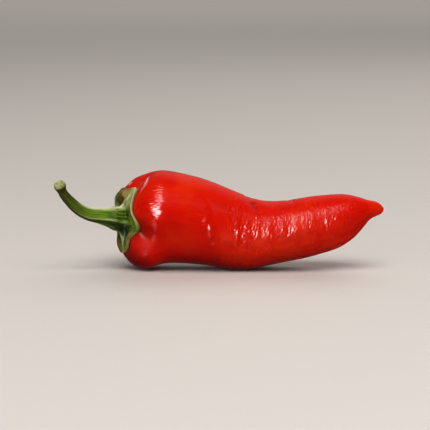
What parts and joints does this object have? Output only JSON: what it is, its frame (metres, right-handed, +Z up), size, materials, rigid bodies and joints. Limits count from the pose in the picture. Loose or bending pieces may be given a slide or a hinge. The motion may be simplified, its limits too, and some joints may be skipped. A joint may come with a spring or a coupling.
{
  "type": "chilli pepper",
  "caption": "Fresh red chilli pepper lying on its side: a lobed, tapered pod with a bent waist and a nipple tip, a ribbed green calyx and a curved stem with a cut end.",
  "frame": {"origin": "on the surface it rests on, under the middle of the pepper's outer box", "axes": "+X from the stem's cut end to the pod's tip, -Y towards the viewer of the picture, +Z up"},
  "size_m": [0.0946, 0.0272, 0.0284],
  "materials": {
    "red_skin": "glossy",
    "green_stem": "satin"
  },
  "bodies": {
    "root": {"pod": "red_skin", "stem_and_calyx": "green_stem"}
  },
  "joints": []
}
